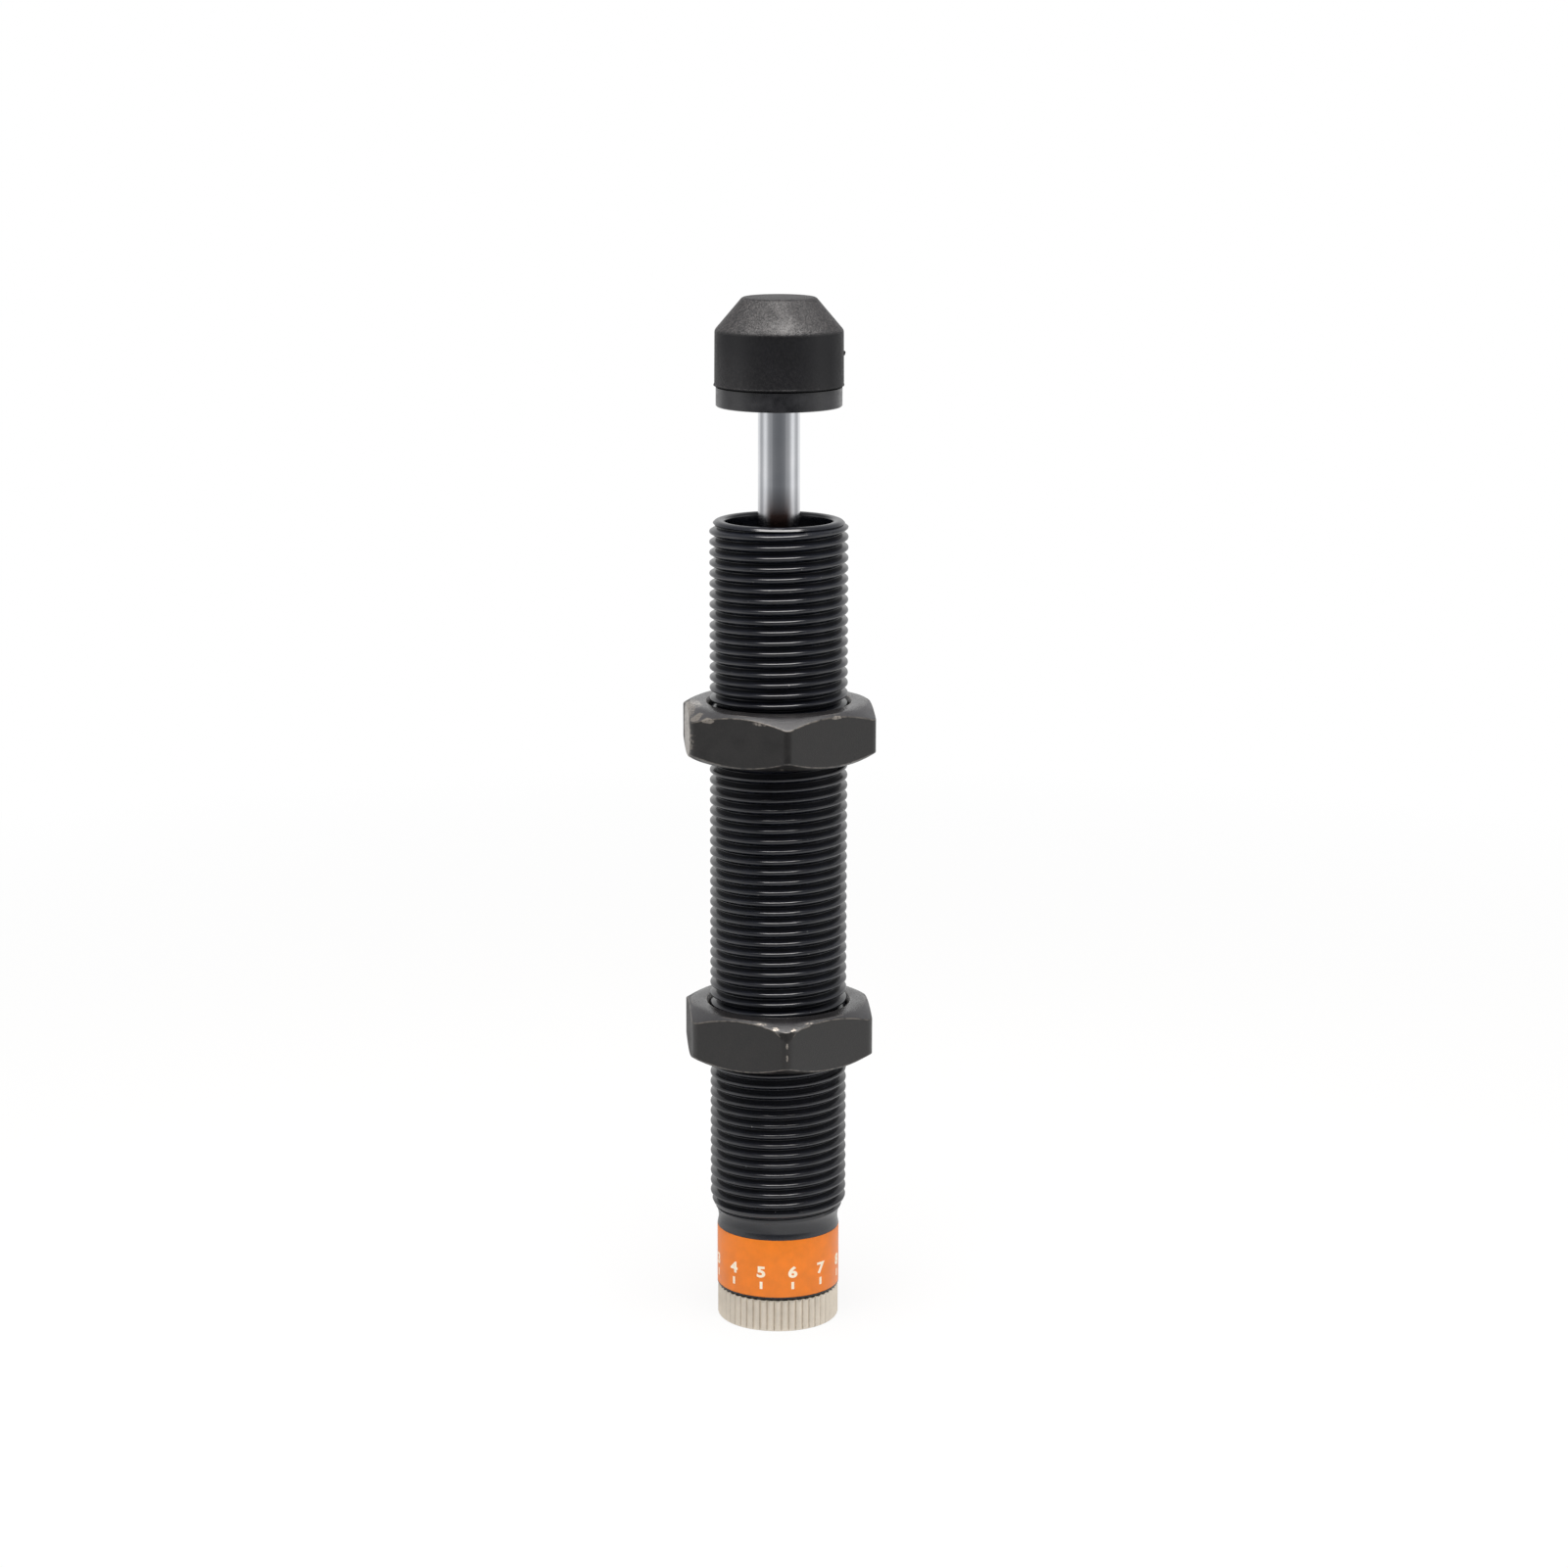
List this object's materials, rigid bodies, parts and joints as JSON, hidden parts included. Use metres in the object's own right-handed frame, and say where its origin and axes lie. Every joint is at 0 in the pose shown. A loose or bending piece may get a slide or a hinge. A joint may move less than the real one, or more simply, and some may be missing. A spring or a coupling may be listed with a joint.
{
  "type": "industrial shock absorber",
  "caption": "Adjustable threaded hydraulic shock absorber with a sprung piston rod, bumper cap, hex lock nuts and a numbered adjuster knob.",
  "frame": {"origin": "centre of the adjuster knob's end face, on which the part stands", "axes": "+Z along the axis towards the bumper cap, -Y towards the middle of the dial figures"},
  "size_m": [0.0278, 0.0302, 0.1497],
  "materials": {
    "black_oxide_body": "glossy black oxide",
    "black_oxide_nut": "satin black oxide, worn edges",
    "orange_label": "printed film",
    "nickel_knob": "nickel plated",
    "chromed_rod": "hard chrome",
    "black_urethane": "moulded matte",
    "dark_steel": "dark satin",
    "plain_steel": "machined",
    "spring_steel": "drawn",
    "bronze": "machined",
    "cast_iron": "ground",
    "black_rubber": "satin",
    "seal_polymer": "satin",
    "white_polymer": "matte",
    "foam": "closed-cell foam"
  },
  "bodies": {
    "housing": {"threaded_body": "black_oxide_body", "scale_label": "orange_label", "stop_pin": "plain_steel", "retaining_ring": "spring_steel", "seal_cover": "dark_steel", "rod_wiper": "black_rubber", "rod_seal": "seal_polymer", "rod_bearing": "bronze", "bearing_o_ring": "black_rubber", "accumulator_foam": "foam", "pressure_tube": "plain_steel", "tube_plug": "plain_steel", "thrust_washer": "white_polymer", "return_spring": "spring_steel"},
    "rod": {"piston_rod": "chromed_rod", "piston_head": "plain_steel", "piston_nut": "plain_steel", "cap_base": "dark_steel", "bumper_cap": "black_urethane"},
    "check_valve": {"check_ring": "cast_iron"},
    "adjuster": {"adjuster_knob": "nickel_knob", "knob_screw": "dark_steel", "adjuster_shaft": "plain_steel", "shaft_o_ring": "black_rubber", "metering_sleeve": "bronze"},
    "upper_nut": {"upper_lock_nut": "black_oxide_nut"},
    "lower_nut": {"lower_lock_nut": "black_oxide_nut"}
  },
  "joints": [
    {"name": "rod_stroke", "type": "slide", "parent": "housing", "child": "rod", "axis": [0, 0, -1], "range_m": [0, 0.016], "stiffness_N_per_m": 750, "springref_m": -0.011, "deforming": ["return_spring"]},
    {"name": "check_ring_lift", "type": "slide", "parent": "rod", "child": "check_valve", "axis": [0, 0, 1], "range_m": [0, 0.0004]},
    {"name": "adjuster_turn", "type": "hinge", "parent": "housing", "child": "adjuster", "pos_m": [0, 0, 0], "axis": [0, 0, 1], "range_deg": [0, 270]},
    {"name": "upper_nut_travel", "type": "slide", "parent": "housing", "child": "upper_nut", "axis": [0, 0, 1], "range_m": [-0.0175, 0.0255]},
    {"name": "lower_nut_travel", "type": "slide", "parent": "housing", "child": "lower_nut", "axis": [0, 0, 1], "range_m": [-0.0215, 0.0175]}
  ]
}
